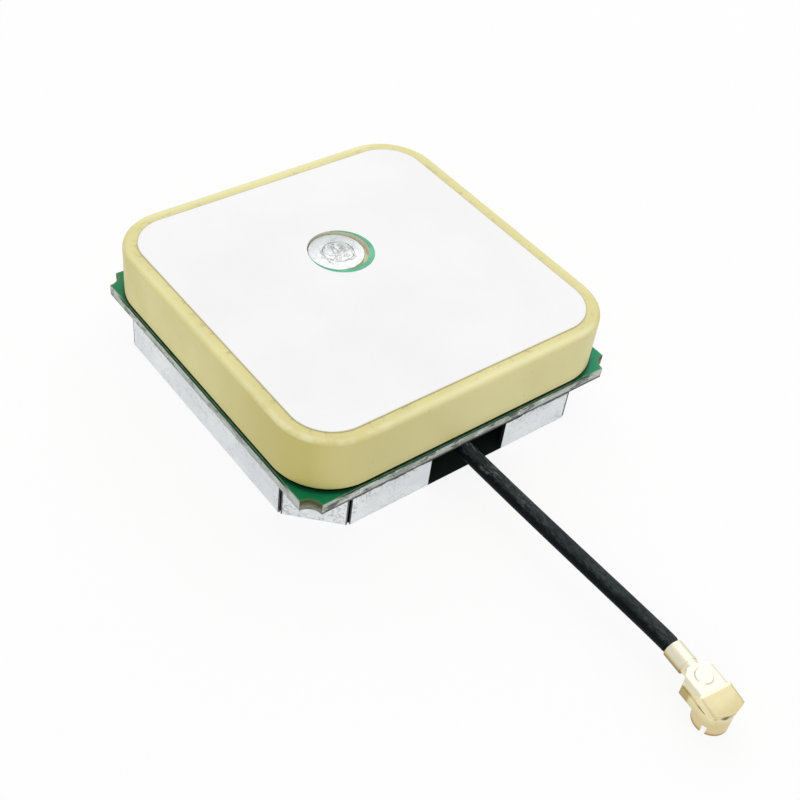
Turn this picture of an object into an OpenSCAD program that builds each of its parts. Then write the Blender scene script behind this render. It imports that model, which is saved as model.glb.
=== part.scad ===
// Satellite positioning module: a ceramic patch antenna on a small circuit board,
// with a folded shield can over the receiver front end and a short coaxial lead.
// The object stands on the flat floor of the can, with Z up and the lead along -Y.

/* [Module] */
// Width of the square board and of the ceramic block on it
module_w = 25; // [20:0.5:32]

/* [Ceramic patch] */
// Height of the ceramic block
patch_h = 4; // [3:0.5:6]
// Radius of the block's upright corners
patch_corner_r = 4; // [2:0.25:5]
// Radius that breaks the block's top and bottom edges
patch_edge_r = 0.3; // [0.15:0.05:0.6]
// Bare border between the silver print and the block's edge
print_margin = 1; // [0.7:0.1:2]
// Radius of the silver print's corners
print_corner_r = 2.9; // [1.5:0.1:3.5]
// Thickness of the printed layers
print_t = 0.05; // [0.03:0.01:0.1]

/* [Feed point] */
// Distance of the feed pin from the middle, towards the right
feed_x = 0.05; // [-0.5:0.01:0.5]
// Distance of the feed pin from the middle, towards the back
feed_y = 2.74; // [1.5:0.01:4]
// Diameter of the feed pin's shank
pin_d = 1; // [0.8:0.1:1.2]
// Diameter of the feed pin's flat head
pin_head_d = 2.2; // [1.8:0.1:2.6]
// Depth of the recess in the block's top
recess_depth = 0.6; // [0.55:0.05:0.8]
// Width of the green stop ring around the recess
stop_w = 0.165; // [0.12:0.005:0.5]
// Diameter of the solder button around the pin's head
button_d = 3.8; // [3.2:0.05:4.5]
// Thickness of the solder button
button_t = 0.5; // [0.3:0.05:0.5]

/* [Circuit board] */
// Thickness of the board
board_t = 0.8; // [0.6:0.1:1.2]
// Radius of the round bite in each corner of the board
corner_bite_r = 0.95; // [0.6:0.05:1.3]
// Thickness of the adhesive film between the block and the board
film_t = 0.08; // [0.05:0.01:0.2]
// Thickness of the tinned land that carries the can
land_t = 0.1; // [0.05:0.01:0.2]

/* [Shield can] */
// Distance by which the board stands out over the can's walls
board_ledge = 0.3; // [0.1:0.05:0.6]
// Height of the can from its floor to its rim
can_h = 2.95; // [2.6:0.05:4]
// Thickness of the tinned sheet
sheet_t = 0.25; // [0.2:0.05:0.3]
// Inside radius of the bend between the can's floor and its walls
can_bend_in = 0.05; // [0.05:0.05:0.3]
// Length cut off each corner of the can's outline
can_corner = 3.1; // [2:0.1:4]
// Width of the slit between each wall and its corner flap
slit_w = 0.2; // [0.15:0.05:0.4]
// Width of the cable mouth in the front wall
mouth_w = 6.2; // [3:0.1:8]
// Distance of the cable mouth's middle from the can's middle
mouth_x = 0.3; // [-1:0.1:1]

/* [Coaxial lead] */
// Outside diameter of the lead's jacket
jacket_d = 1.13; // [0.81:0.01:1.32]
// Free length between the front of the board and the plug
lead_free = 18; // [15:0.5:40]
// Sideways place of the lead where it leaves the can
lead_x = -0.25; // [-1:0.05:1]

/* [Plug] */
// Bore of the plug's skirt, which snaps on a round socket
skirt_bore = 1.95; // [1.8:0.05:2.2]
// Thickness of the plug's gilded sheet
shell_t = 0.12; // [0.1:0.01:0.16]
// Overall height of the plug's head
plug_h = 2.3; // [2.2:0.05:2.8]
// Sideways place of the plug's crimp
plug_x = 0.5; // [-1:0.1:2]
// Angle by which the plug points aside
plug_turn = -7; // [-10:0.5:10]

/* [Hidden] */
$fn = 64;
// Small overlap that lets a cut pass through a face
cut = 0.1;
// Widths that follow the module's width
patch_w = module_w;
board_w = module_w;
can_w = board_w - 2 * board_ledge;
// Heights of the stacked layers, from the floor of the can up
land_z = can_h;
board_z = land_z + land_t;
board_top = board_z + board_t;
film_z = board_top;
ground_z = film_z + film_t;
patch_z = ground_z + print_t;
patch_top = patch_z + patch_h;
// Clearance around the pin's shank in the block and the board
pin_clear = 0.1;
// The pin's head stands this much over the solder button, with a broken edge
head_proud = 0.02;
head_edge = 0.06;
pin_head_t = button_t + head_proud;
// The recess leaves room around the button, and the print's window takes the stop ring
button_room = 0.45;
recess_d = button_d + button_room;
window_d = recess_d + 2 * stop_w;
// Window in the lower print and the film around the pin
ground_window_d = pin_d + 1.6;
// Length of the pin below the board
pin_stub = 0.8;
// Offset of the printed window from the pin, and of the button from the pin
window_shift = [0.09, -0.2];
button_shift = [-0.13, 0.05];
// Lower print and film stand back from the block's edge
ground_margin = 0.5;
film_margin = 0.75;
// The land runs behind the can's outer face and is wider than the rim
land_back = 0.12;
land_w = 1.5;
// Outside radius of the can's bend, and how far the cuts reach in past it
can_bend_r = can_bend_in + sheet_t;
bend_relief = can_bend_r + 0.05;
// Solder tacks inside the can: distance from the slit, place on the wall, length, leg
tack_away = 2.1;
tack_at = can_w / 2 - can_corner - tack_away;
tack_len = 1.8;
tack_leg = 0.5;
// Lead: it runs just under the board, then falls to the plug
lead_gap = 0.12;
lead_z = board_z - lead_gap - jacket_d / 2;
braid_d = 0.75 * jacket_d;
core_d = 0.55 * jacket_d;
wire_d = 0.22 * jacket_d;
jacket_inner_y = -2.4;
braid_len = 1.5;
core_len = 0.8;
wire_len = 0.9;
// Plug: heights, and lengths along its own axis from the start of the crimp
skirt_d = skirt_bore + 2 * shell_t;
cover_z = plug_h - shell_t;
squeezed_d = 0.9 * jacket_d;
crimp_clear = 0.02;
crimp_bore = squeezed_d + 2 * crimp_clear;
crimp_d = crimp_bore + 2 * shell_t;
plug_axis_z = plug_h - crimp_d / 2 + 0.05;
plug_y = -board_w / 2 - lead_free;
crimp_len = 1.35;
crimp_grip = 1.15;
crimp_seam = 0.08;
neck_len = 0.6;
neck_d = crimp_d - 0.06;
head_y = -crimp_len - 2.65;
// Cover over the head, bent down at both sides, with a low round boss
cover_half = skirt_bore / 2 + shell_t;
cover_bend_r = 0.3;
cover_edge_z = 1.5;
cover_rear = -crimp_len - 0.35;
cover_taper = 0.5;
boss_d = 1.3;
boss_h = 0.08;
boss_back = 1.45;
// Lid that runs on from the cover: a little wider, folded down a few degrees, with a bowed front
lid_gap = 0.04;
lid_half = cover_half + lid_gap + shell_t;
lid_turn = 9;
lid_flap = 0.36;
lid_fold = head_y + 0.35;
lid_lap = 0.15;
lid_len = 1.7;
lid_bow_r = 2.3;
lid_front = skirt_d / 2 + 0.005;
// Band that wraps the skirt's sides and runs back as two arms
arm_half = skirt_d / 2 - 0.02;
band_half = arm_half + shell_t;
band_front = 0.85;
arm_rear = -crimp_len - 0.9;
arm_z = 1.05;
arm_top = 1.65;
// Spring slots in the skirt: width, height, and places round the skirt
slot_w = 0.3;
slot_h = 0.6;
slot_turns = [85, 205, 325];
seat_z = 1;
contact_d = 0.75;
contact_bore = 0.45;
tail_d = 0.4;
// Lead: straight under the board, one bend in the open, straight again into the crimp.
// The bend leaves the board and comes home on straights of these lengths
lead_out = 7.5;
lead_home = 0.8;
// It ends this far before the crimp, and the crimp squeezes the jacket from there
lead_stop = 0.3;
lead_squeeze = 0.05;
// Rings along the bend and sides round the jacket
lead_steps = 10;
lead_sides = 12;
// Sizes of the parts under the board
filter_w = 3;
filter_h = 1.1;
lid_w = 2.5;
lid_t = 0.1;
chip_l = 2;
chip_w = 1.25;
chip_h = 0.9;
chip_off = 0.1;
lead_pitch = 0.65;
small_l = 1;
small_w = 0.5;
small_h = 0.5;
cap_l = 0.22;
// Places under the board on a module of the layout width: [x, y, turned by a quarter]
layout_w = 25;
layout_spread = module_w / layout_w;
filter_at = [6, 6.5];
chip_at = [6, 1.5];
capacitor_at = [[2.4, 2.7, 0], [6, 3.8, 0], [3.2, 0.4, 1], [8.6, 1.5, 1], [6, -0.8, 0]];
inductor_at = [[3.4, 4.6, 1], [3.9, -0.8, 0]];
resistor_at = [[8.6, -0.8, 1], [2.4, -1.2, 1]];

// Flat square with round corners
module round_square(w, r) {
    square([w, w - 2 * r], center = true);
    square([w - 2 * r, w], center = true);
    for (x = [-1, 1], y = [-1, 1]) {
        translate([x * (w / 2 - r), y * (w / 2 - r)])
            circle(r);
    }
}

// Flat square with cut corners
module cut_square(w, leg) {
    h = w / 2;
    c = h - leg;
    polygon([[h, c], [c, h], [-c, h], [-h, c], [-h, -c], [-c, -h], [c, -h], [h, -c]]);
}

// Straight bar along Y whose two lower edges are rounded
module keel_bar(w, h, e, long) {
    rotate([90, 0, 0])
        linear_extrude(long, center = true) {
            translate([-w / 2, e])
                square([w, h - e]);
            translate([e - w / 2, 0])
                square([w - 2 * e, h]);
            for (x = [e - w / 2, w / 2 - e]) {
                translate([x, e])
                    circle(e);
            }
        }
}

// Solid tray with cut corners and a rounded lower edge all round
module tray(w, leg, h, e) {
    across = sqrt(2) * (w - leg);
    intersection() {
        keel_bar(w, h, e, 2 * w);
        rotate([0, 0, 90])
            keel_bar(w, h, e, 2 * w);
        rotate([0, 0, 45])
            keel_bar(across, h, e, 2 * w);
        rotate([0, 0, -45])
            keel_bar(across, h, e, 2 * w);
    }
}

// Half section of a slab whose outer edges are rounded
module slab_section(half, h, e) {
    square([half - e, h]);
    translate([0, e])
        square([half, h - 2 * e]);
    for (z = [e, h - e]) {
        translate([half - e, z])
            circle(e);
    }
}

// Square block with round upright corners and rounded edges
module soft_block(w, h, r, e) {
    for (x = [-1, 1], y = [-1, 1]) {
        translate([x * (w / 2 - r), y * (w / 2 - r), 0])
            rotate_extrude()
                slab_section(r, h, e);
    }
    for (turn = [0, 90]) {
        rotate([90, 0, turn])
            linear_extrude(w - 2 * r, center = true) {
                slab_section(w / 2, h, e);
                mirror([1, 0])
                    slab_section(w / 2, h, e);
            }
    }
}

// Round bar along -Y from y0 to y1
module bar_y(d, y0, y1) {
    translate([0, y0, 0])
        rotate([90, 0, 0])
            cylinder(d = d, h = y0 - y1);
}

// Places a child under the board, hanging from its lower face
module under_board(at) {
    translate([at[0] * layout_spread, at[1] * layout_spread, board_z])
        rotate([180, 0, at[2] == 1 ? 90 : 0])
            children();
}

module shield_can() {
    half = can_w / 2;
    inside_w = can_w - 2 * sheet_t;
    inside_corner = can_corner - sheet_t * (2 - sqrt(2));
    color([0.85, 0.87, 0.88])
        difference() {
            tray(can_w, can_corner, can_h, can_bend_r);
            translate([0, 0, sheet_t])
                tray(inside_w, inside_corner, can_h, can_bend_in);
            // Slits where each side wall meets a corner flap, with a relief in the bend
            for (turn = [0 : 90 : 270], side = [-1, 1]) {
                rotate([0, 0, turn])
                    translate([side * (half - can_corner), half, -cut])
                        rotate([0, 0, -side * 22.5])
                            translate([-slit_w / 2, -bend_relief, 0])
                                cube([slit_w, bend_relief + cut, can_h + 2 * cut]);
            }
            // Cable mouth, cut down to the floor
            translate([mouth_x - mouth_w / 2, -half - cut, sheet_t])
                cube([mouth_w, bend_relief + cut, can_h]);
        }
}

module ground_land() {
    outer = can_w - 2 * land_back;
    inner = outer - 2 * land_w;
    color([0.8, 0.8, 0.78])
        translate([0, 0, land_z])
            linear_extrude(land_t)
                difference() {
                    cut_square(outer, can_corner - land_back * (2 - sqrt(2)));
                    cut_square(inner, can_corner - (land_back + land_w) * (2 - sqrt(2)));
                }
}

module can_solder() {
    wall = can_w / 2 - sheet_t;
    color([0.75, 0.76, 0.77])
        for (turn = [0 : 90 : 270], side = [-1, 1]) {
            rotate([0, 0, turn])
                translate([side * tack_at, wall, land_z])
                    rotate([90, 0, 90])
                        linear_extrude(tack_len, center = true)
                            polygon([[0, 0], [-tack_leg, 0], [0, -tack_leg]]);
        }
}

module circuit_board() {
    half = board_w / 2;
    color([0.13, 0.45, 0.3])
        translate([0, 0, board_z])
            linear_extrude(board_t)
                difference() {
                    square(board_w, center = true);
                    for (x = [-1, 1], y = [-1, 1]) {
                        translate([x * half, y * half])
                            circle(corner_bite_r);
                    }
                    translate([feed_x, feed_y])
                        circle(d = pin_d + pin_clear);
                }
}

module saw_filter() {
    color([0.93, 0.92, 0.88])
        under_board(filter_at)
            translate([-filter_w / 2, -filter_w / 2, 0])
                cube([filter_w, filter_w, filter_h]);
}

module filter_lid() {
    color([0.85, 0.75, 0.45])
        under_board(filter_at)
            translate([-lid_w / 2, -lid_w / 2, filter_h])
                cube([lid_w, lid_w, lid_t]);
}

module amplifier_chip() {
    color([0.1, 0.1, 0.11])
        under_board(chip_at)
            translate([-chip_l / 2, -chip_w / 2, chip_off])
                cube([chip_l, chip_w, chip_h]);
}

module amplifier_leads() {
    reach = 0.45;
    t = 0.12;
    z = chip_off + 0.4;
    color([0.8, 0.8, 0.8])
        for (i = [-1, 0, 1], side = [0, 180]) {
            under_board(chip_at)
                rotate([0, 0, side])
                    translate([i * lead_pitch, chip_w / 2, 0])
                        rotate([90, 0, 90])
                            linear_extrude(0.22, center = true)
                                polygon([
                                    [0, z], [0.2, z], [0.2, t], [reach, t],
                                    [reach, 0], [0.2 - t, 0], [0.2 - t, z - t], [0, z - t]
                                ]);
        }
}

module small_bodies(places, h) {
    for (at = places) {
        under_board(at)
            translate([cap_l - small_l / 2, -small_w / 2, 0])
                cube([small_l - 2 * cap_l, small_w, h]);
    }
}

module chip_capacitors() {
    color([0.62, 0.5, 0.36])
        small_bodies(capacitor_at, small_h);
}

module chip_inductors() {
    color([0.35, 0.5, 0.62])
        small_bodies(inductor_at, small_h);
}

module chip_resistors() {
    color([0.08, 0.08, 0.09])
        small_bodies(resistor_at, small_h);
}

module chip_terminals() {
    color([0.82, 0.82, 0.82])
        for (at = concat(capacitor_at, inductor_at, resistor_at), side = [0, 1]) {
            under_board(at)
                translate([side == 0 ? -small_l / 2 : small_l / 2 - cap_l, -small_w / 2, 0])
                    cube([cap_l, small_w, small_h]);
        }
}

module adhesive_film() {
    color([0.25, 0.24, 0.18])
        translate([0, 0, film_z])
            linear_extrude(film_t)
                difference() {
                    round_square(patch_w - 2 * film_margin, patch_corner_r - film_margin);
                    translate([feed_x, feed_y])
                        circle(d = ground_window_d);
                }
}

module ground_print() {
    color([0.8, 0.8, 0.79])
        translate([0, 0, ground_z])
            linear_extrude(print_t)
                difference() {
                    round_square(patch_w - 2 * ground_margin, patch_corner_r - ground_margin);
                    translate([feed_x, feed_y])
                        circle(d = ground_window_d);
                }
}

// Outline of the printed window, which lies a little off the recess
module print_window() {
    translate([feed_x + window_shift[0], feed_y + window_shift[1]])
        circle(d = window_d);
}

// Outline of the recess in the block's top
module recess_outline() {
    translate([feed_x, feed_y])
        circle(d = recess_d);
}

module ceramic_patch() {
    color([0.82, 0.78, 0.55])
        difference() {
            translate([0, 0, patch_z])
                soft_block(patch_w, patch_h, patch_corner_r, patch_edge_r);
            translate([feed_x, feed_y, patch_z - cut])
                cylinder(d = pin_d + pin_clear, h = patch_h + 2 * cut);
            translate([0, 0, patch_top - recess_depth])
                linear_extrude(recess_depth + cut)
                    recess_outline();
        }
}

module top_print() {
    color([0.95, 0.95, 0.95])
        translate([0, 0, patch_top])
            linear_extrude(print_t)
                difference() {
                    round_square(patch_w - 2 * print_margin, print_corner_r);
                    print_window();
                    recess_outline();
                }
}

module stop_ring() {
    color([0.4, 0.7, 0.52])
        translate([0, 0, patch_top])
            linear_extrude(print_t)
                difference() {
                    print_window();
                    recess_outline();
                }
}

module feed_pin() {
    head_z = patch_top - recess_depth;
    tip_z = board_z - pin_stub;
    color([0.83, 0.8, 0.68])
        translate([feed_x, feed_y, 0]) {
            translate([0, 0, tip_z])
                cylinder(d = pin_d, h = head_z - tip_z + pin_head_t / 2);
            translate([0, 0, head_z])
                cylinder(d = pin_head_d, h = pin_head_t - head_edge);
            translate([0, 0, head_z + pin_head_t - head_edge])
                cylinder(d1 = pin_head_d, d2 = pin_head_d - 2 * head_edge, h = head_edge);
        }
}

module feed_button() {
    floor_z = patch_top - recess_depth;
    color([0.86, 0.87, 0.87])
        difference() {
            translate([feed_x + button_shift[0], feed_y + button_shift[1], floor_z])
                cylinder(d = button_d, h = button_t);
            translate([feed_x, feed_y, floor_z - cut])
                cylinder(d = pin_head_d, h = pin_head_t + cut);
        }
}

module pin_solder() {
    color([0.78, 0.79, 0.8])
        difference() {
            translate([feed_x, feed_y, board_z - 0.6])
                cylinder(d1 = pin_d + 0.3, d2 = pin_d + 1, h = 0.6);
            translate([feed_x, feed_y, board_z - 1])
                cylinder(d = pin_d, h = 1 + cut);
        }
}

function unit(v) = v / norm(v);
function bezier(a, b, c, d, t) =
    pow(1 - t, 3) * a + 3 * t * pow(1 - t, 2) * b + 3 * t * t * (1 - t) * c + pow(t, 3) * d;
plug_along = [sin(plug_turn), -cos(plug_turn), 0];
crimp_start = [plug_x, plug_y, plug_axis_z];
lead_bend_from = [lead_x, -board_w / 2, lead_z];
lead_bend_to = crimp_start - lead_stop * plug_along;
lead_path = [
    [lead_x, jacket_inner_y, lead_z],
    for (i = [0 : lead_steps])
        bezier(
            lead_bend_from, lead_bend_from - [0, lead_out, 0],
            lead_bend_to - lead_home * plug_along, lead_bend_to, i / lead_steps
        ),
    crimp_start - lead_squeeze * plug_along,
    crimp_start + crimp_grip * plug_along
];
lead_rings = len(lead_path);
function lead_along(i) = unit(lead_path[min(i + 1, lead_rings - 1)] - lead_path[max(i - 1, 0)]);
function lead_side(i) = unit(cross(lead_along(i), [0, 0, 1]));
function lead_up(i) = cross(lead_side(i), lead_along(i));
function lead_d(i) = i < lead_rings - 2 ? jacket_d : squeezed_d;
function lead_corner(i, k) =
    let (a = 360 * (k + 0.5) / lead_sides)
    lead_path[i] + lead_d(i) / 2 * (cos(a) * lead_side(i) + sin(a) * lead_up(i));

module lead_jacket() {
    n = lead_sides;
    last = (lead_rings - 1) * n;
    points = [for (i = [0 : lead_rings - 1], k = [0 : n - 1]) lead_corner(i, k)];
    walls = [
        for (i = [0 : lead_rings - 2], k = [0 : n - 1])
            let (j = (k + 1) % n)
            each [[i * n + k, i * n + j, (i + 1) * n + j], [i * n + k, (i + 1) * n + j, (i + 1) * n + k]]
    ];
    ends = [[for (k = [n - 1 : -1 : 0]) k], [for (k = [0 : n - 1]) last + k]];
    color([0.08, 0.09, 0.1])
        polyhedron(points, concat(walls, ends));
}

module lead_bar(d, y0, y1) {
    translate([lead_x, 0, lead_z])
        bar_y(d, y0, y1);
}

braid_end = jacket_inner_y + braid_len;
core_end = braid_end + core_len;
wire_end = core_end + wire_len;

module lead_braid() {
    color([0.7, 0.68, 0.62])
        lead_bar(braid_d, braid_end, jacket_inner_y);
}

module lead_core() {
    color([0.9, 0.9, 0.88])
        lead_bar(core_d, core_end, braid_end);
}

module lead_wire() {
    color([0.8, 0.78, 0.72])
        lead_bar(wire_d, wire_end, core_end);
}

module braid_solder() {
    drop = board_z - lead_z + 0.15;
    color([0.77, 0.78, 0.79])
        difference() {
            translate([lead_x, (jacket_inner_y + braid_end) / 2, board_z - drop])
                cylinder(d1 = braid_d + 0.3, d2 = 1.4 * braid_d + 0.5, h = drop);
            lead_bar(braid_d, braid_end + 1, jacket_inner_y - 1);
            lead_bar(jacket_d + 0.1, jacket_inner_y, jacket_inner_y - 1);
            lead_bar(jacket_d + 0.1, braid_end + 1, braid_end);
        }
}

module wire_solder() {
    drop = board_z - lead_z + 0.2;
    color([0.77, 0.78, 0.79])
        difference() {
            translate([lead_x, wire_end - 0.35, board_z - drop])
                cylinder(d1 = wire_d + 0.25, d2 = wire_d + 0.85, h = drop);
            lead_bar(wire_d, wire_end + 1, core_end);
            lead_bar(jacket_d, core_end, core_end - 1);
        }
}

// Places a child at the plug, with the crimp's start at the origin and the head towards -Y
module at_plug() {
    translate([plug_x, plug_y, 0])
        rotate([0, 0, plug_turn])
            children();
}

// Flat outline of the plug's cover, widening from the neck to the head
module cover_outline() {
    neck = neck_d / 2 - shell_t;
    polygon([
        [-neck, cover_rear], [neck, cover_rear], [cover_half, cover_rear - cover_taper],
        [cover_half, head_y], [-cover_half, head_y], [-cover_half, cover_rear - cover_taper]
    ]);
}

// Solid section under a sheet that is bent down at both sides
module bent_top(half, top, r) {
    translate([-half, 0])
        square([2 * half, top - r]);
    translate([r - half, 0])
        square([2 * half - 2 * r, top]);
    for (x = [r - half, half - r]) {
        translate([x, top - r])
            circle(r);
    }
}

// Section of the plug's cover and of its lid: a flat top with both sides bent down
module cover_section(half, flap_z) {
    difference() {
        bent_top(half, plug_h, cover_bend_r);
        bent_top(half - shell_t, cover_z, cover_bend_r - shell_t);
        translate([-2 * half, -cut])
            square([4 * half, flap_z + cut]);
    }
}

// Turns its child down about the fold line between cover and lid
module at_lid() {
    translate([0, lid_fold, plug_h])
        rotate([lid_turn, 0, 0])
            children();
}

// All the room below the lid's top, less a depth
module below_lid(depth) {
    at_lid()
        translate([-2 * lid_half, -2 * lid_len, -2 * plug_h - depth])
            cube([4 * lid_half, 4 * lid_len, 2 * plug_h]);
}

// Flat outline of the band round the skirt, open to the rear
module band_outline(half) {
    translate([0, head_y])
        circle(half);
    translate([-half, head_y])
        square([2 * half, arm_rear - head_y]);
}

module plug_shell() {
    color([0.9, 0.85, 0.62])
        at_plug() {
            // Barrel that is crimped on the jacket, with its seam below
            difference() {
                translate([0, 0, plug_axis_z])
                    bar_y(crimp_d, 0, -crimp_len);
                translate([0, 0, plug_axis_z])
                    bar_y(crimp_bore, cut, -crimp_len - cut);
                translate([-crimp_seam / 2, -crimp_len - cut, plug_axis_z - crimp_d])
                    cube([crimp_seam, crimp_len + 2 * cut, crimp_d]);
            }
            // Neck: the upper half of the barrel runs on to the cover
            difference() {
                translate([0, 0, plug_axis_z])
                    bar_y(neck_d, -crimp_len + cut, -crimp_len - neck_len);
                translate([0, 0, plug_axis_z])
                    bar_y(crimp_bore, 0, -crimp_len - neck_len - cut);
                translate([-crimp_d, -crimp_len - neck_len - cut, 0])
                    cube([2 * crimp_d, neck_len + 3 * cut, plug_axis_z]);
            }
            // Cover, with its round boss
            intersection() {
                translate([0, lid_fold, 0])
                    rotate([90, 0, 180])
                        linear_extrude(cover_rear - lid_fold)
                            cover_section(cover_half, cover_edge_z);
                linear_extrude(plug_h + cut)
                    cover_outline();
            }
            translate([0, head_y + boss_back, plug_h - shell_t / 2])
                cylinder(d1 = boss_d, d2 = boss_d - 0.3, h = boss_h + shell_t / 2);
            // Lid, which laps under the cover's end and stops flush with its top
            intersection() {
                at_lid()
                    translate([0, lid_lap, -plug_h])
                        rotate([90, 0, 0])
                            linear_extrude(lid_len + lid_lap)
                                cover_section(lid_half, plug_h - lid_flap);
                translate([0, head_y - lid_front + lid_bow_r, 0])
                    cylinder(r = lid_bow_r, h = plug_h);
            }
            // Band round the skirt's sides, with its arms
            translate([0, 0, arm_z])
                linear_extrude(arm_top - arm_z)
                    difference() {
                        band_outline(band_half);
                        band_outline(arm_half);
                        translate([-arm_half, arm_rear - cut])
                            square([2 * arm_half, 2 * cut]);
                        translate([-band_half, head_y - band_front - band_half])
                            square([2 * band_half, band_half]);
                    }
            // Skirt that snaps on the socket, with spring slots and a gap for the contact's tail
            difference() {
                intersection() {
                    translate([0, head_y, 0])
                        cylinder(d = skirt_d, h = cover_z + shell_t / 2);
                    below_lid(shell_t / 2);
                }
                translate([0, head_y, -cut])
                    cylinder(d = skirt_bore, h = cover_z + cut);
                translate([-0.35, head_y, plug_axis_z - 0.4])
                    cube([0.7, skirt_d, 0.8]);
                for (turn = slot_turns) {
                    translate([0, head_y, -cut])
                        rotate([0, 0, turn])
                            translate([0, -slot_w / 2, 0])
                                cube([skirt_d, slot_w, slot_h + cut]);
                }
            }
        }
}

module plug_insulator() {
    color([0.93, 0.92, 0.88])
        at_plug()
            difference() {
                intersection() {
                    translate([0, head_y, seat_z]) {
                        cylinder(d = skirt_bore, h = cover_z - cover_bend_r - seat_z);
                        cylinder(d = skirt_bore - 2 * cover_bend_r, h = cover_z - seat_z);
                    }
                    below_lid(shell_t);
                }
                translate([0, head_y, seat_z - cut])
                    cylinder(d = contact_d, h = plug_axis_z + 0.3 - seat_z + cut);
                translate([0, head_y, plug_axis_z])
                    bar_y(tail_d, skirt_bore, 0);
            }
}

module plug_contact() {
    color([0.92, 0.86, 0.6])
        at_plug()
            translate([0, head_y, 0]) {
                difference() {
                    translate([0, 0, 0.35])
                        cylinder(d = contact_d, h = plug_axis_z + 0.3 - 0.35);
                    translate([0, 0, 0.35 - cut])
                        cylinder(d = contact_bore, h = 0.8 + cut);
                }
                translate([0, 0, plug_axis_z])
                    bar_y(tail_d, -crimp_grip - head_y, 0);
            }
}

shield_can();
ground_land();
can_solder();
circuit_board();
saw_filter();
filter_lid();
amplifier_chip();
amplifier_leads();
chip_capacitors();
chip_inductors();
chip_resistors();
chip_terminals();
adhesive_film();
ground_print();
ceramic_patch();
top_print();
stop_ring();
feed_pin();
feed_button();
pin_solder();
lead_jacket();
lead_braid();
lead_core();
lead_wire();
braid_solder();
wire_solder();
plug_shell();
plug_insulator();
plug_contact();
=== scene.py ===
import math
import bpy
from mathutils import Matrix, Vector


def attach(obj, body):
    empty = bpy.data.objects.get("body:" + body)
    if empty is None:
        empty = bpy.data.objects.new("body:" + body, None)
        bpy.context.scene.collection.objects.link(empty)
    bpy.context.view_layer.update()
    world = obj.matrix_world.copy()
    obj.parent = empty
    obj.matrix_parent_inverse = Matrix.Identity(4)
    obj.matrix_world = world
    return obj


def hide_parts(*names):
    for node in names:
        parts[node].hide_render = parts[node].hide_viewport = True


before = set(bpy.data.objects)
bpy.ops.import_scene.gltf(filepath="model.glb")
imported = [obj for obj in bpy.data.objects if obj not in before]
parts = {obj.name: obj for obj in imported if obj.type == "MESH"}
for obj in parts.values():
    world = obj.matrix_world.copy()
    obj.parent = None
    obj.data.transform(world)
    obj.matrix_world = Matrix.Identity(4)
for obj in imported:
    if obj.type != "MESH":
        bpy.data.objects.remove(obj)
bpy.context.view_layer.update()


# Shield can. One tinned steel sheet, folded to a tray whose walls and corner flaps stand free
# of each other, and soldered by its rim to the board. The rolled grain is fine and lies level,
# and dust speckles it, heavier near the folds, the rim and the foot, where it is partly painted
# shade. Painted shade darkens an uneven band along the top of the walls under the board's edge,
# and the slits, the inside and the floor in the mouth are painted dark as shade.
MM = 0.001


class Value:
    """A number, colour or vector in a shader tree, with arithmetic on numbers."""

    def __init__(self, nodes, socket):
        self.nodes = nodes
        self.socket = socket

    def _math(self, operation, *values):
        sockets = {f"_{i}": value for i, value in enumerate(values)}
        return self.nodes.value(0, "Math", {"operation": operation}, **sockets)

    def __add__(self, other):
        return self._math("ADD", self, other)

    def __radd__(self, other):
        return self._math("ADD", other, self)

    def __sub__(self, other):
        return self._math("SUBTRACT", self, other)

    def __rsub__(self, other):
        return self._math("SUBTRACT", other, self)

    def __mul__(self, other):
        return self._math("MULTIPLY", self, other)

    def __rmul__(self, other):
        return self._math("MULTIPLY", other, self)

    def __pow__(self, other):
        return self._math("POWER", self, other)

    def __neg__(self):
        return self._math("MULTIPLY", self, -1.0)

    def __abs__(self):
        return self._math("ABSOLUTE", self)

    def least(self, other):
        return self._math("MINIMUM", self, other)

    def most(self, other):
        return self._math("MAXIMUM", self, other)

    def root(self):
        return self._math("SQRT", self)

    def ramp(self, low, high):
        """0 at low and 1 at high, smooth between and level outside; low may be the larger."""
        settings = {"interpolation_type": "SMOOTHSTEP", "clamp": True}
        return self.nodes.value("Result", "MapRange", settings, Value=self, From_Min=low, From_Max=high)


class Nodes:
    """A shader tree. A socket goes by its label, or by its number after a low line."""

    def __init__(self, tree):
        self.tree = tree

    def node(self, kind, settings=None, **sockets):
        made = self.tree.nodes.new("ShaderNode" + kind)
        for key, value in (settings or {}).items():
            setattr(made, key, value)
        self.fill(made, **sockets)
        return made

    def value(self, output, kind, settings=None, **sockets):
        return Value(self, self.node(kind, settings, **sockets).outputs[output])

    def fill(self, made, **sockets):
        for key, value in sockets.items():
            socket = made.inputs[int(key[1:]) if key.startswith("_") else key.replace("_", " ")]
            if isinstance(value, Value):
                self.tree.links.new(value.socket, socket)
            else:
                socket.default_value = value


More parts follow.
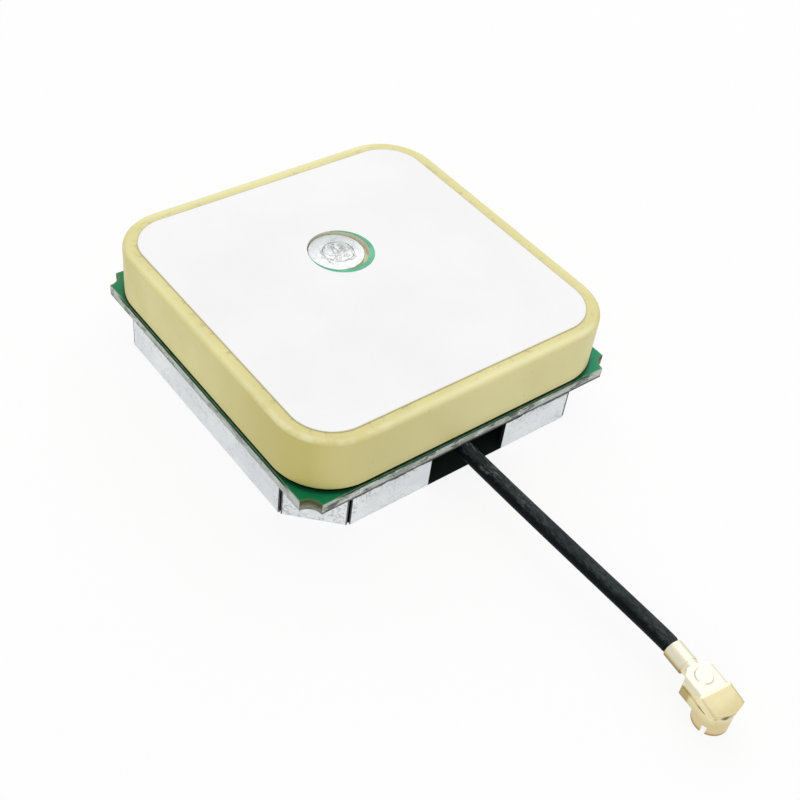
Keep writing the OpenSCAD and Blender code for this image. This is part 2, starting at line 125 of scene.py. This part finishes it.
class Finish(Nodes):
    """A material with one Principled shader. Its places and sizes are in millimetres."""

    def __init__(self, name):
        self.material = bpy.data.materials.new(name)
        self.material.use_nodes = True
        super().__init__(self.material.node_tree)
        self.tree.nodes.clear()
        self.shader = self.node("BsdfPrincipled")
        self.end = self.node("OutputMaterial", Surface=Value(self, self.shader.outputs["BSDF"]))
        metres = self.value("Object", "TexCoord")
        self.place = self.value("Vector", "VectorMath", {"operation": "SCALE"}, Vector=metres, Scale=1 / MM)

    def surface(self, **sockets):
        self.fill(self.shader, **sockets)
        return self.material

    def xyz(self, vector=None):
        made = self.node("SeparateXYZ", Vector=vector or self.place)
        return [Value(self, socket) for socket in made.outputs]

    def facing(self):
        """1 on faces that look up, 0 on upright ones, -1 on those that look down."""
        return self.xyz(self.value("Normal", "NewGeometry"))[2]

    def noise(self, scale, detail, rough, stretch=(1.0, 1.0, 1.0), turn=(0.0, 0.0, 0.0)):
        """Noise from 0 to 1 with this many lumps to the millimetre, fewer where stretched."""
        place = self.value("Vector", "Mapping", Vector=self.place, Scale=stretch, Rotation=turn)
        return self.value("Fac", "TexNoise", Vector=place, Scale=scale, Detail=detail, Roughness=rough)

    def blend(self, mask, low, high):
        """Mixes two colours, each a value or a colour as a picture shows it, 0 to 255."""
        low, high = (srgb(*colour) if isinstance(colour, tuple) else colour for colour in (low, high))
        return self.value(2, "Mix", {"data_type": "RGBA"}, _0=mask, _6=low, _7=high)

    def bump(self, height, distance, strength):
        return self.value("Normal", "Bump", Height=height, Distance=distance * MM, Strength=strength)


def srgb(red, green, blue):
    """A colour as a picture shows it, from 0 to 255, as a shader takes it."""
    def linear(c):
        c = c / 255
        return c / 12.92 if c <= 0.04045 else ((c + 0.055) / 1.055) ** 2.4
    return (linear(red), linear(green), linear(blue), 1.0)


def dress(material, *nodes):
    """Gives CAD nodes one material."""
    for node in nodes:
        parts[node].data.materials.clear()
        parts[node].data.materials.append(material)


def tinned_sheet():
    f = Finish("tinned_sheet")
    x, y, z = f.xyz()
    half, across, fold_at = 12.2, 21.3, 9.1
    mouth_at, mouth_half = 0.3, 3.1
    depth = (half - abs(x)).least(half - abs(y)).least((across - abs(x) - abs(y)) * math.sqrt(0.5))
    inside = depth.ramp(0.09, 0.2) * z.ramp(0.03, 0.1)
    mouth = abs(x - mouth_at).ramp(mouth_half + 0.04, mouth_half + 0.01) * (-y).ramp(half - 0.5, half - 0.3)
    # Painted shade: the inside of the can and the floor in its mouth are painted dark.
    hollow_shade = inside.most(mouth * z.ramp(0.0, 0.015))
    fold = abs(abs(x) - fold_at).least(abs(abs(y) - fold_at))
    # Painted shade: the slits at the folds are painted dark.
    slit = fold.ramp(0.17, 0.11) * z.ramp(0.05, 0.3) * 0.85
    grain = f.noise(1.5, 4, 0.6, (0.35, 0.35, 1.0))
    cloud = f.noise(0.26, 3, 0.5)
    dust = f.noise(5.2, 4, 0.75).ramp(0.48, 0.64) * f.noise(0.62, 3, 0.6).ramp(0.32, 0.58)
    scratch = f.noise(2.1, 2, 0.5, (0.12, 0.12, 1.0), (0.5, 0.3, 0.2)).ramp(0.64, 0.7)
    # Dust gathers towards the rim, the foot and the folds, where it is partly painted shade.
    ends = z.ramp(0.6, 0.1).most(z.ramp(2.0, 2.5))
    dust_and_shade_weight = 0.2 + 0.24 * ends + 0.3 * fold.ramp(1.8, 0.3)
    broken = f.noise(0.9, 4, 0.65)
    # Painted shade: an uneven dark band along the top of the walls, under the board's edge.
    rim = (z + (broken - 0.5) * 0.5).ramp(2.5, 2.58) * broken.ramp(0.3, 0.42)
    slit_and_rim_shade = slit.most(rim * 0.9)
    tone = f.blend(cloud.ramp(0.35, 0.68), (224, 228, 231), (239, 242, 243))
    tone = f.blend(grain.ramp(0.5, 0.75) * 0.35, tone, (208, 213, 216))
    tone = f.blend(dust * dust_and_shade_weight, tone, (140, 144, 142))
    tone = f.blend(scratch * 0.15, tone, (180, 185, 188))
    tone = f.blend(slit_and_rim_shade, tone, (15, 19, 18))
    tone = f.blend(hollow_shade, tone, (35, 44, 42))
    return f.surface(Base_Color=tone, Metallic=0.7 - 0.7 * slit_and_rim_shade.most(hollow_shade),
                     Roughness=0.4 + 0.15 * grain + 0.3 * dust, Specular_IOR_Level=0.02,
                     Normal=f.bump(grain + 0.8 * cloud - 0.6 * dust, 0.006, 0.6))


dress(tinned_sheet(), "shield_can")


# Ground land and solder joints. The board's tinned border that the can's rim stands on, the
# tacks inside the can and the joints of pin, lead and small parts. Soft metal with a frosted
# skin, where flux has dried in dark patches between rim and board.
def frosted_solder(name, flux):
    f = Finish(name)
    lumps = f.noise(0.7, 4, 0.6)
    frost = f.noise(6.0, 2, 0.6)
    stain = f.noise(0.42, 3, 0.6).ramp(0.5, 0.42) * flux
    tone = f.blend(lumps.ramp(0.35, 0.7), (172, 176, 178), (216, 219, 220))
    tone = f.blend(stain, tone, (28, 30, 28))
    return f.surface(Base_Color=tone, Metallic=0.85, Roughness=0.3 + 0.25 * frost + 0.2 * stain,
                     Normal=f.bump(lumps + 0.2 * frost, 0.02, 0.7))


dress(frosted_solder("rim_solder", 0.95), "ground_land")
dress(frosted_solder("joint_solder", 0.15), "can_solder", "pin_solder", "braid_solder", "wire_solder",
      "amplifier_leads", "chip_terminals")


# Circuit board. Glass-fibre laminate with green solder mask on both faces. Painted shade
# darkens the mask close to the block and in the gap under it, and a painted sheen lightens it
# towards the right. Painted shade also darkens the bottom of the edge over the can, and the top
# of the edge near the block is painted dark green as the mask in shade. The routed edge shows
# torn glass in level layers, grey with dark pits and pale chips, paler on the left towards the
# front, and the drilled bites at the corners are scorched.
BLOCK_HALF, BLOCK_CORNER = 12.5, 4.0


def span(a, b):
    """Length of a step that is a one way and b square to it."""
    return (a ** 2.0 + b ** 2.0).root()


def outside(f, half, corner):
    """Distance from the outline of a square with round corners, below 0 within it."""
    x, y, _ = f.xyz()
    over_x, over_y = abs(x) - (half - corner), abs(y) - (half - corner)
    return span(over_x.most(0.0), over_y.most(0.0)) + over_x.most(over_y).least(0.0) - corner


def board_laminate():
    f = Finish("board_laminate")
    x, y, z = f.xyz()
    half, bite, low, high = 12.5, 0.95, 3.05, 3.85
    face = abs(f.facing()).ramp(0.4, 0.6)
    corner = span(half - abs(x), half - abs(y))
    beside = outside(f, BLOCK_HALF, BLOCK_CORNER)
    weave = f.noise(0.35, 3, 0.5)
    fine = f.noise(2.6, 3, 0.6)
    ragged = fine - 0.5
    border = abs(x).most(abs(y)) + ragged * 0.14
    mask = f.blend(weave.ramp(0.3, 0.7), (6, 121, 76), (16, 136, 90))
    # Painted sheen lightens the mask towards the right.
    mask = f.blend(x.ramp(6.0, 12.0) * 0.8, mask, (30, 148, 110))
    mask = f.blend(fine.ramp(0.62, 0.75) * 0.25, mask, (64, 150, 112))
    # Painted shade darkens the mask close to the block, most at its foot.
    mask = f.blend(beside.ramp(0.7, -0.1) * 0.25, mask, (3, 66, 38))
    mask = f.blend(beside.ramp(0.25, -0.05) * 0.75, mask, (3, 46, 24))
    mask = f.blend(border.ramp(half - 0.09, half - 0.01) * 0.7, mask, (150, 166, 138))
    mask = f.blend((corner + ragged * 0.2).ramp(bite + 0.18, bite + 0.03) * 0.6, mask, (118, 126, 84))
    # Painted shade in the gap under the block.
    mask = f.blend(beside.ramp(-0.1, -0.2), mask, (4, 20, 13))
    layers = f.noise(1.0, 5, 0.7, (0.35, 0.35, 2.4))
    torn = f.noise(2.0, 5, 0.72, (0.5, 0.5, 1.3))
    pits = torn.ramp(0.53, 0.6)
    chips = f.noise(2.8, 4, 0.7, (0.5, 0.5, 1.0)).ramp(0.53, 0.6)
    left = (-x).ramp(half - 0.05, half - 0.01)
    # The left edge is paler, more so towards the front.
    pale_left_edge = left * (0.35 + 0.65 * (-y).ramp(1.0, 9.0))
    # Painted shade along the bottom of the edge, over the can, weaker on the left.
    under = (z + (torn - 0.5) * 0.3).ramp(low + 0.2, low + 0.08)
    # Painted shade: the top of the edge near the block is dark green, as the mask in shade.
    shaded_mask_lip = (z + ragged * 0.08 + left * 0.1).ramp(high - 0.16, high - 0.07) * beside.ramp(0.6, 0.15)
    glass = f.blend(layers.ramp(0.36, 0.62), (150, 157, 148), (206, 212, 205))
    glass = f.blend(chips * 0.8, glass, (234, 238, 234))
    glass = f.blend(pits * 0.75, glass, (66, 70, 62))
    glass = f.blend(under * (0.8 - 0.55 * left), glass, (48, 53, 48))
    glass = f.blend(pale_left_edge * 0.7, glass, (206, 211, 206))
    glass = f.blend(shaded_mask_lip, glass, (8, 68, 36))
    scorch = f.blend(z.ramp(low + 0.2, low + 0.62), (142, 144, 126), (88, 90, 62))
    scorch = f.blend(pits * 0.4, scorch, (64, 60, 42))
    glass = f.blend(corner.ramp(bite + 0.05, bite + 0.01), glass, scorch)
    height = (1.0 - face) * (layers + chips - 1.2 * pits) * 2.5 + face * weave * 0.2
    return f.surface(Base_Color=f.blend(face, glass, mask), Roughness=0.85 - 0.4 * face,
                     Specular_IOR_Level=0.16, Normal=f.bump(height, 0.014, 0.8))


dress(board_laminate(), "circuit_board")


# Parts under the board. A moulded amplifier, a ceramic filter with a gilded lid and small
# chip parts, soldered to the board inside the can.
def fired_body(name, pale, deep, rough):
    f = Finish(name)
    fine = f.noise(4.0, 3, 0.6)
    tone = f.blend(fine.ramp(0.3, 0.7), deep, pale)
    return f.surface(Base_Color=tone, Roughness=rough + 0.15 * fine, Normal=f.bump(fine, 0.005, 0.5))


dress(fired_body("filter_ceramic", (240, 238, 230), (222, 219, 208), 0.5), "saw_filter")
dress(fired_body("capacitor_ceramic", (170, 140, 104), (146, 117, 82), 0.5), "chip_capacitors")
dress(fired_body("inductor_ceramic", (104, 138, 166), (80, 114, 142), 0.5), "chip_inductors")
dress(fired_body("moulded_black", (34, 34, 36), (22, 22, 24), 0.6), "amplifier_chip", "chip_resistors")


# Adhesive film and ground print. The dark film bonds the block to the board, and the silver
# fired on the block's underside is the antenna's ground. Only their edges can be seen.
def fired_silver(name, half, corner):
    f = Finish(name)
    edge = outside(f, half, corner)
    cloud = f.noise(0.13, 3, 0.5)
    mesh_mark = f.noise(2.4, 2, 0.5)
    grain = f.noise(9.0, 2, 0.6)
    thinned = (edge + (mesh_mark - 0.5) * 0.03).ramp(-0.09, -0.03)
    tone = f.blend(cloud.ramp(0.3, 0.7), (243, 243, 243), (247, 247, 247))
    tone = f.blend(grain.ramp(0.55, 0.8) * 0.3, tone, (232, 233, 233))
    tone = f.blend(edge.ramp(-0.3, -0.05) * 0.35, tone, (240, 239, 230))
    tone = f.blend(thinned * 0.8, tone, (186, 172, 132))
    return f.surface(Base_Color=tone, Roughness=0.52 + 0.15 * grain, Specular_IOR_Level=0.25,
                     Normal=f.bump(grain + 0.5 * mesh_mark, 0.002, 0.5))


dress(fired_body("adhesive_film", (48, 46, 34), (30, 28, 20), 0.7), "adhesive_film")
dress(fired_silver("ground_silver", 12.0, 3.5), "ground_print")


# Ceramic block. Dense cream-yellow antenna ceramic, pressed, fired and ground flat. The body
# is softly mottled with fine pores and a little grimy round the print. Painted shade browns the
# near corner and darkens the walls towards the board, painted light makes the front walls paler,
# and painted highlights run along the top edges, gleam on the top at the near corner and whiten
# the recess wall.
PRINT_HALF, PRINT_CORNER = 11.5, 2.9
FEED = Vector((0.05, 2.74))


def antenna_ceramic():
    f = Finish("antenna_ceramic")
    x, y, z = f.xyz()
    base, recess_r, recess_z = 3.98, 2.125, 7.38
    level = abs(f.facing()).ramp(0.3, 0.9)
    upright = 1.0 - level
    mottle = f.noise(0.2, 4, 0.55)
    pores = f.value("Distance", "TexVoronoi", Vector=f.place, Scale=1.5).ramp(0.15, 0.05)
    pores = pores * f.noise(0.45, 2, 0.5).ramp(0.5, 0.62)
    fine = f.noise(5.0, 3, 0.6)
    streak = f.noise(0.42, 3, 0.5, (1.0, 1.0, 0.2))
    near_corner = (-x - y + (mottle - 0.5) * 4.0).ramp(12.0, 22.5)
    front = (-y).ramp(10.8, 12.3) * upright
    edge_highlight = (abs(x).ramp(11.7, 12.2) * 0.4).most(abs(y).ramp(11.6, 12.2)) * level
    well = span(x - FEED.x, y - FEED.y).ramp(recess_r + 0.075, recess_r + 0.015)
    well = well * z.ramp(recess_z - 0.18, recess_z - 0.08)
    off_print = outside(f, PRINT_HALF, PRINT_CORNER)
    sheen = off_print.ramp(0.3, 0.7) * f.noise(0.5, 3, 0.6).ramp(0.4, 0.6)
    grime = off_print.ramp(0.6, 0.05) * f.noise(1.5, 4, 0.7).ramp(0.54, 0.64)
    tone = f.blend(mottle.ramp(0.3, 0.72), (217, 208, 142), (226, 218, 152))
    tone = f.blend(streak.ramp(0.5, 0.8) * 0.25 * upright, tone, (206, 195, 124))
    # Painted shade browns the near corner, most on its walls.
    tone = f.blend(near_corner * (0.25 + 0.65 * upright), tone, (196, 184, 105))
    # Painted light makes the front walls paler.
    tone = f.blend(front * 0.3, tone, (238, 230, 178))
    # Painted highlight along the rounded top edges, faint at the near corner.
    tone = f.blend(edge_highlight * (1.0 - near_corner) * 0.6, tone, (238, 234, 184))
    # Painted shade darkens the walls towards the board.
    tone = f.blend(z.ramp(base + 0.9, base + 0.1) * 0.4, tone, (188, 178, 104))
    tone = f.blend(pores * 0.3, tone, (160, 148, 88))
    # Painted highlight: pale glossy patches on the top at the near corner.
    tone = f.blend(sheen * level * near_corner * 0.45, tone, (244, 241, 208))
    tone = f.blend(grime * level * 0.4, tone, (150, 140, 96))
    # Painted light makes the recess wall near-white.
    tone = f.blend(well * 0.9, tone, (242, 239, 214))
    return f.surface(Base_Color=tone, Roughness=0.38 + 0.15 * fine, Specular_IOR_Level=0.4,
                     Normal=f.bump(fine + 0.6 * mottle, 0.006, 0.5))


dress(antenna_ceramic(), "ceramic_patch")


# Top print. Silver paste screened on the block and fired: a matt white metal film with a
# brownish line where the paste thins out at its edge.
dress(fired_silver("top_silver", PRINT_HALF, PRINT_CORNER), "top_print")


# Feed point. A green printed ring stops the solder around the recess in the block, and the
# pin's flat head stands in a button of solder that was pressed down while soft, which left a
# round mark, knots and wrinkles.
def stop_green():
    f = Finish("stop_green")
    patch = f.noise(0.9, 3, 0.5)
    fine = f.noise(4.5, 2, 0.6)
    tone = f.blend(patch.ramp(0.3, 0.7), (64, 162, 118), (98, 190, 152))
    return f.surface(Base_Color=tone, Roughness=0.35 + 0.15 * fine, Specular_IOR_Level=0.4,
                     Normal=f.bump(patch + 0.3 * fine, 0.006, 0.5))


def pressed_solder():
    f = Finish("pressed_solder")
    x, y, _ = f.xyz()
    middle, press, head_r = Vector((0.0, 2.9)), Vector((0.2, 3.1)), 1.1
    wobble = f.noise(0.76, 4, 0.6) - 0.5
    side = (middle.x - x) * 0.29 + (middle.y - y) * 0.96 + wobble
    radius = span(x - middle.x, y - middle.y) + wobble * 2.6
    pressed = span(x - press.x, y - press.y) + wobble * 1.2
    ring = abs(radius - head_r).ramp(0.12, 0.02) * f.noise(0.64, 3, 0.6).ramp(0.47, 0.56)
    wrinkle = abs(f.noise(1.3, 4, 0.65) - 0.5).ramp(0.03, 0.006)
    core = radius.ramp(1.25, 0.6)
    knot = abs(f.noise(1.9, 3, 0.6) - 0.5).ramp(0.07, 0.01) * pressed.ramp(0.85, 0.3)
    line = (0.8 * ring).most(wrinkle * (0.25 + 0.5 * core)).most(knot)
    skin = f.noise(0.42, 3, 0.55)
    fine = f.noise(7.0, 2, 0.6)
    tone = f.blend(skin.ramp(0.3, 0.7), (192, 195, 196), (212, 215, 215))
    # Painted shade greys one side of the button, and painted light brightens the other.
    tone = f.blend(side.ramp(-0.1, -1.3) * 0.35, tone, (166, 170, 172))
    tone = f.blend(side.ramp(-0.2, 0.8) * 0.75, tone, (226, 228, 228))
    tone = f.blend(line * 0.75, tone, (122, 122, 116))
    return f.surface(Base_Color=tone, Metallic=0.6, Roughness=0.45 + 0.2 * fine, Specular_IOR_Level=0.2,
                     Normal=f.bump(skin - 0.6 * line + 0.1 * fine, 0.03, 0.7))


dress(stop_green(), "stop_ring")
dress(pressed_solder(), "feed_button", "feed_pin")


# Coaxial lead. A thin black extruded jacket over braid, core and wire. It runs from the
# solder joints under the board through the can's mouth and bends down to the plug, whose
# crimp squeezes its end. Its upper side carries a painted sheen, and it is scuffed near the can.
JACKET_D = 1.13 * MM
SQUEEZED = 0.9
PLUG_TURN = math.radians(-7.0)
plug_along = Vector((math.sin(PLUG_TURN), -math.cos(PLUG_TURN), 0.0))
crimp_start = Vector((0.5, -30.5, 1.7015)) * MM
bend_from = Vector((-0.25, -12.5, 2.365)) * MM
bend_to = crimp_start - 0.3 * MM * plug_along
handles = (bend_from - Vector((0.0, 7.5, 0.0)) * MM, bend_to - 0.8 * MM * plug_along)


def bend_point(t):
    s = 1.0 - t
    return s ** 3 * bend_from + 3 * s * s * t * handles[0] + 3 * s * t * t * handles[1] + t ** 3 * bend_to


BEND_STEPS = 24
route = [Vector((bend_from.x, y * MM, bend_from.z)) for y in (-2.4, -5.7, -9.0)]
route += [bend_point(i / BEND_STEPS) for i in range(BEND_STEPS + 1)]
route += [crimp_start - 0.05 * MM * plug_along, crimp_start + 1.15 * MM * plug_along]
squeeze = [1.0] * (len(route) - 2) + [SQUEEZED, SQUEEZED]


def scuffed_jacket():
    f = Finish("scuffed_jacket")
    _, y, _ = f.xyz()
    upper = f.facing()
    fine = f.noise(7.0, 2, 0.6)
    drawn = f.noise(5.2, 4, 0.75, (1.0, 0.25, 1.0)).ramp(0.36, 0.64)
    specks = f.noise(6.2, 4, 0.75, (1.0, 0.35, 1.0)).ramp(0.47, 0.58)
    near = y.ramp(-20.0, -14.5)
    worn = f.noise(0.9, 3, 0.6, (1.0, 0.35, 1.0)).ramp(0.36, 0.56) * (0.16 + 0.84 * near)
    painted_sheen = upper.ramp(0.55, 1.05) * (0.45 + 0.75 * drawn)
    tone = f.blend(fine.ramp(0.3, 0.7), (5, 11, 13), (12, 18, 20))
    # Painted sheen greys the upper side.
    tone = f.blend(painted_sheen, tone, (49, 55, 57))
    tone = f.blend(specks * worn * upper.ramp(0.3, 0.8) * 0.7, tone, (136, 141, 141))
    return f.surface(Base_Color=tone, Roughness=0.5 + 0.15 * specks, Specular_IOR_Level=0.06,
                     Normal=f.bump(fine * 0.3 + drawn + 0.6 * specks, 0.008, 0.6))


def tube_tree(material):
    """Geometry Nodes tree that sweeps a round section along a curve, scaled by its radius."""
    tree = bpy.data.node_groups.new("swept_tube", "GeometryNodeTree")
    for name, kind in (("Geometry", "Geometry"), ("Radius", "Float"), ("Sides", "Int")):
        tree.interface.new_socket(name, in_out="INPUT", socket_type="NodeSocket" + kind)
    tree.interface.new_socket("Geometry", in_out="OUTPUT", socket_type="NodeSocketGeometry")
    start = tree.nodes.new("NodeGroupInput")
    ring = tree.nodes.new("GeometryNodeCurvePrimitiveCircle")
    thick = tree.nodes.new("GeometryNodeInputRadius")
    sweep = tree.nodes.new("GeometryNodeCurveToMesh")
    sweep.inputs["Fill Caps"].default_value = True
    smooth = tree.nodes.new("GeometryNodeSetShadeSmooth")
    real = tree.nodes.new("GeometryNodeRealizeInstances")
    coat = tree.nodes.new("GeometryNodeSetMaterial")
    coat.inputs["Material"].default_value = material
    end = tree.nodes.new("NodeGroupOutput")
    link = tree.links.new
    link(start.outputs["Radius"], ring.inputs["Radius"])
    link(start.outputs["Sides"], ring.inputs["Resolution"])
    link(start.outputs["Geometry"], sweep.inputs["Curve"])
    link(ring.outputs["Curve"], sweep.inputs["Profile Curve"])
    link(thick.outputs["Radius"], sweep.inputs["Scale"])
    link(sweep.outputs["Mesh"], smooth.inputs["Geometry"])
    link(smooth.outputs["Geometry"], real.inputs["Geometry"])
    link(real.outputs["Geometry"], coat.inputs["Geometry"])
    link(coat.outputs["Geometry"], end.inputs["Geometry"])
    return tree


def grown(name, source, tree, **inputs):
    """Runs a tree on a data block and returns its result as a plain mesh object."""
    carrier = bpy.data.objects.new(name + "_carrier", source)
    bpy.context.scene.collection.objects.link(carrier)
    modifier = carrier.modifiers.new("grow", "NODES")
    modifier.node_group = tree
    for item in tree.interface.items_tree:
        if item.item_type == "SOCKET" and item.in_out == "INPUT" and item.name in inputs:
            modifier[item.identifier] = inputs[item.name]
    graph = bpy.context.evaluated_depsgraph_get()
    mesh = bpy.data.meshes.new_from_object(carrier.evaluated_get(graph))
    carrier.modifiers.remove(modifier)
    bpy.data.objects.remove(carrier)
    made = bpy.data.objects.new(name, mesh)
    bpy.context.scene.collection.objects.link(made)
    return made


lead_line = bpy.data.curves.new("lead_line", "CURVE")
lead_line.dimensions = "3D"
spline = lead_line.splines.new("POLY")
spline.points.add(len(route) - 1)
for bead, point, thick in zip(spline.points, route, squeeze):
    bead.co = (*point, 1.0)
    bead.radius = thick
jacket = grown("lead_cable", lead_line, tube_tree(scuffed_jacket()), Radius=JACKET_D / 2, Sides=32)
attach(jacket, "root")
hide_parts("lead_jacket")


def tinned_braid():
    f = Finish("tinned_braid")
    bands = {"wave_type": "BANDS", "bands_direction": "DIAGONAL"}
    weave = f.value("Fac", "TexWave", bands, Vector=f.place, Scale=0.9, Distortion=2.0)
    tone = f.blend(weave, (150, 142, 126), (208, 202, 188))
    return f.surface(Base_Color=tone, Metallic=0.85, Roughness=0.35 + 0.1 * weave,
                     Normal=f.bump(weave, 0.03, 0.8))


dress(tinned_braid(), "lead_braid", "lead_wire")
milky = fired_body("milky_insulation", (238, 238, 232), (226, 226, 218), 0.35)
dress(milky, "lead_core")


# Plug. A gilded bronze sheet, folded round an insulating disc with a spring contact, and
# crimped on the lead's end. The plating is thin and pale and browner at the foot. A painted
# highlight whitens the top towards the crimp, and painted shade darkens the sloping lid, the
# crimp's lower flank, the lower parts and the skirt under the lid's front edge.
def gilded_sheet():
    f = Finish("gilded_sheet")
    x, y, z = f.xyz()
    plug_h, skirt_r, head_at, lid_at, lid_slope = 2.3, 1.095, 4.0, 3.65, math.tan(math.radians(9.0))
    crimp = crimp_start / MM
    head = crimp + head_at * plug_along
    past = (x - crimp.x) * plug_along.x + (y - crimp.y) * plug_along.y
    across = (y - crimp.y) * plug_along.x - (x - crimp.x) * plug_along.y
    radius = span(x - head.x, y - head.y)
    below = plug_h - z - lid_slope * (past - lid_at)
    wear = f.noise(0.9, 4, 0.6)
    fine = f.noise(5.2, 3, 0.6)
    patchy = past + (wear - 0.5) * 0.8
    lid = past.ramp(lid_at - 0.03, lid_at + 0.03) * below.ramp(0.1, 0.04)
    top_highlight = patchy.ramp(3.6, 3.2) * z.ramp(1.7, 2.15)
    barrel_shade = past.ramp(1.6, 1.4) * z.ramp(2.05, 1.55)
    flank_shade = past.ramp(3.1, 2.8) * z.ramp(1.75, 1.6)
    skirt = radius.ramp(skirt_r + 0.025, skirt_r + 0.005) * below.ramp(0.1, 0.13) * past.ramp(3.9, 4.2)
    shade = skirt * below.ramp(0.55, 0.15)
    notch_shadow = span(across + 0.38, below - 0.22).ramp(0.34, 0.14) * past.ramp(4.5, 4.7) * below.ramp(0.02, 0.07)
    low = z.ramp(1.9, 0.9)
    foot = z.ramp(0.3, 0.05)
    tone = f.blend(wear.ramp(0.3, 0.7), (234, 222, 178), (242, 232, 194))
    # Painted shade darkens the sloping lid, more towards its front.
    tone = f.blend(lid * (0.75 + 0.25 * wear), tone, (208, 197, 156))
    tone = f.blend(lid * patchy.ramp(3.9, 5.0) * 0.7, tone, (194, 181, 136))
    # Painted shade darkens the lower parts.
    tone = f.blend(low * 0.7, tone, (208, 190, 138))
    # Painted shade on the lower flank of the crimp.
    tone = f.blend(flank_shade * 0.8, tone, (166, 146, 96))
    # Painted highlight whitens the top towards the crimp.
    tone = f.blend(top_highlight * 0.85, tone, (224, 220, 198))
    # Painted shade on the barrel's lower side.
    tone = f.blend(barrel_shade * 0.85, tone, (152, 128, 78))
    tone = f.blend(fine.ramp(0.6, 0.75) * 0.25, tone, (196, 174, 118))
    # Painted shade on the skirt under the lid, and a painted shadow where its front edge meets it.
    tone = f.blend((shade * 0.55).most(notch_shadow * 0.9), tone, (90, 72, 36))
    tone = f.blend(foot * 0.7, tone, (158, 108, 58))
    return f.surface(Base_Color=tone, Metallic=0.9, Roughness=0.3 + 0.16 * wear, Specular_IOR_Level=0.2,
                     Normal=f.bump(wear + 0.3 * fine, 0.02, 0.7))


dress(gilded_sheet(), "plug_shell", "plug_contact", "filter_lid")
dress(milky, "plug_insulator")


# Studio. A pale floor that keeps a faint shadow, a white surround, a wide lamp behind the
# object whose light glances off level metal, and a soft lamp in front. The floor is open from
# below, so that the can's underside can be seen.
def pale_floor():
    f = Finish("pale_floor")
    tone = f.blend(f.noise(0.04, 3, 0.5), (244, 244, 244), (249, 249, 249))
    f.surface(Base_Color=tone, Roughness=0.9, Specular_IOR_Level=0.1)
    lit = Value(f, f.shader.outputs["BSDF"])
    white = f.value(0, "Emission", Color=(1.0, 1.0, 1.0, 1.0), Strength=1.0)
    seen = f.value("Is Camera Ray", "LightPath").most(f.value("Is Glossy Ray", "LightPath"))
    seen = seen.most(f.value("Is Transmission Ray", "LightPath"))
    paper = f.value(0, "MixShader", _0=0.88 * seen, _1=lit, _2=white)
    clear = f.value(0, "BsdfTransparent")
    below = f.value("Backfacing", "NewGeometry")
    f.fill(f.end, Surface=f.value(0, "MixShader", _0=below, _1=paper, _2=clear))
    return f.material


REACH, FLOOR_Z = 1.5, -0.02 * MM
floor_mesh = bpy.data.meshes.new("floor")
floor_mesh.from_pydata([(-REACH, -REACH, FLOOR_Z), (REACH, -REACH, FLOOR_Z), (REACH, REACH, FLOOR_Z),
                        (-REACH, REACH, FLOOR_Z)], [], [(0, 1, 2, 3)])
floor_mesh.materials.append(pale_floor())
floor = bpy.data.objects.new("floor", floor_mesh)
bpy.context.scene.collection.objects.link(floor)

world = bpy.data.worlds.new("surround")
bpy.context.scene.world = world
world.use_nodes = True
sky = Nodes(world.node_tree)
mirrored = 0.6 + 0.32 * sky.value("Is Glossy Ray", "LightPath")
glow = mirrored.most(0.96 * sky.value("Is Camera Ray", "LightPath"))
sky.fill(world.node_tree.nodes["Background"], Color=(1.0, 1.0, 1.0, 1.0), Strength=glow)


def soft_lamp(name, place, size, watts):
    data = bpy.data.lights.new(name, "AREA")
    data.shape = "DISK"
    data.size = size
    data.energy = watts
    lamp = bpy.data.objects.new(name, data)
    lamp.location = place
    aim = Vector((0.0, -8.0, 4.0)) * MM
    lamp.rotation_euler = (aim - Vector(place)).to_track_quat("-Z", "Y").to_euler()
    bpy.context.scene.collection.objects.link(lamp)


soft_lamp("back_lamp", (0.16, 0.16, 0.26), 0.5, 0.68)
soft_lamp("front_lamp", (-0.22, -0.2, 0.24), 0.3, 0.28)


# Camera. Placed where the photo was taken from, above the near corner, with the picture
# turned a little.
AZIMUTH, ELEVATION, ROLL = (math.radians(a) for a in (-43.121, 43.8675, 8.3449))
DISTANCE, ASIDE, LOWER, LIFT = 89.687, 3.358, 2.788, 0.1
reach = math.cos(ELEVATION)
back = Vector((math.sin(AZIMUTH) * reach, -math.cos(AZIMUTH) * reach, math.sin(ELEVATION)))
level = (-back).cross(Vector((0.0, 0.0, 1.0))).normalized()
above = level.cross(-back)
right = math.cos(ROLL) * level + math.sin(ROLL) * above
up = math.cos(ROLL) * above - math.sin(ROLL) * level
lens = bpy.data.cameras.new("camera")
lens.lens = 57.26
lens.sensor_width = 36.0
lens.clip_start = 0.001
lens.clip_end = 10.0
camera = bpy.data.objects.new("camera", lens)
eye = (back * DISTANCE + right * ASIDE - up * LOWER + Vector((0.0, 0.0, LIFT))) * MM
camera.matrix_world = Matrix.Translation(eye) @ Matrix((right, up, back)).transposed().to_4x4()
bpy.context.scene.collection.objects.link(camera)
bpy.context.scene.camera = camera
bpy.context.scene.view_settings.view_transform = "Standard"
